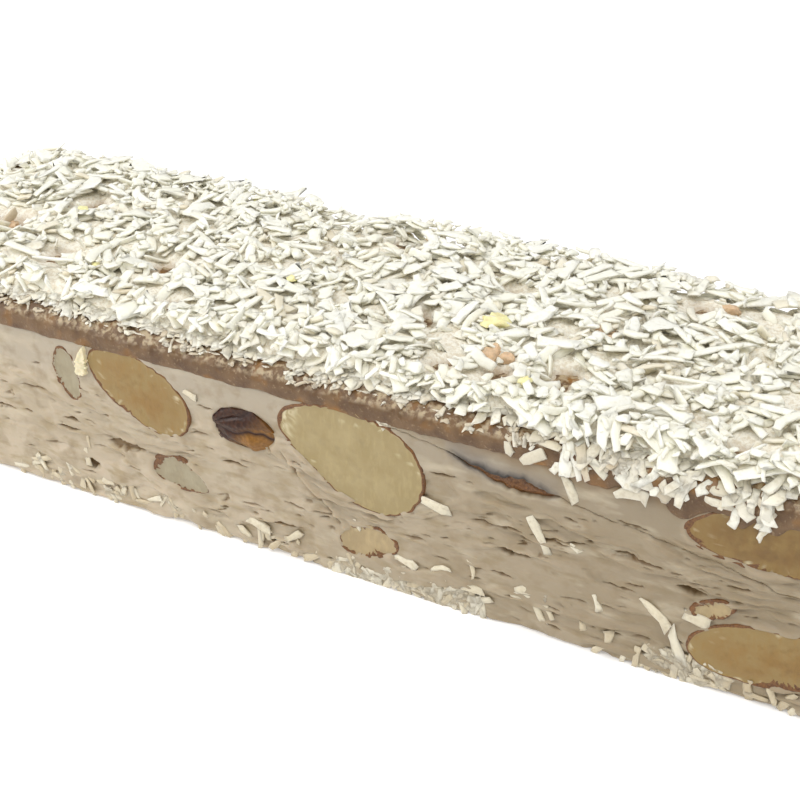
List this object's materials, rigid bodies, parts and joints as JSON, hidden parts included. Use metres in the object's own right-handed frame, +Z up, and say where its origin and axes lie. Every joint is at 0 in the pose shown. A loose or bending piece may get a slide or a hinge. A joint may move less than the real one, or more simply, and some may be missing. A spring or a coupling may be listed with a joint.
{
  "type": "nougat bar",
  "caption": "Bar of soft almond nougat cut square on its sides, with a thin caramel layer and a thick coat of shredded coconut on top.",
  "frame": {"origin": "middle of the bar's flat base", "axes": "+X along the bar, +Y across it towards the far side, +Z up; the long side seen in the picture faces -Y"},
  "size_m": [0.1523, 0.0426, 0.0301],
  "materials": {
    "nougat": "soft, satin",
    "caramel": "sticky, satin",
    "coconut": "dry shreds",
    "almond": "cut, satin",
    "raisin": "moist"
  },
  "bodies": {
    "root": {"nougat": "nougat", "caramel_layer": "caramel", "coconut_coat": "coconut", "almond_front_sliver": "almond", "almond_front_chip": "almond", "almond_front_golden": "almond", "almond_front_low_left": "almond", "almond_front_whole": "almond", "almond_front_low_middle": "almond", "almond_front_slit": "almond", "almond_front_right_top": "almond", "almond_front_ring": "almond", "almond_front_right_low": "almond", "almond_front_left_low": "almond", "almond_front_left_top": "almond", "almond_back_1": "almond", "almond_back_2": "almond", "almond_back_3": "almond", "almond_back_4": "almond", "almond_back_5": "almond", "almond_back_6": "almond", "almond_back_7": "almond", "almond_back_8": "almond", "almond_back_9": "almond", "almond_left_1": "almond", "almond_left_2": "almond", "almond_left_3": "almond", "almond_right_1": "almond", "almond_right_2": "almond", "almond_right_3": "almond", "raisin_front": "raisin"}
  },
  "joints": []
}
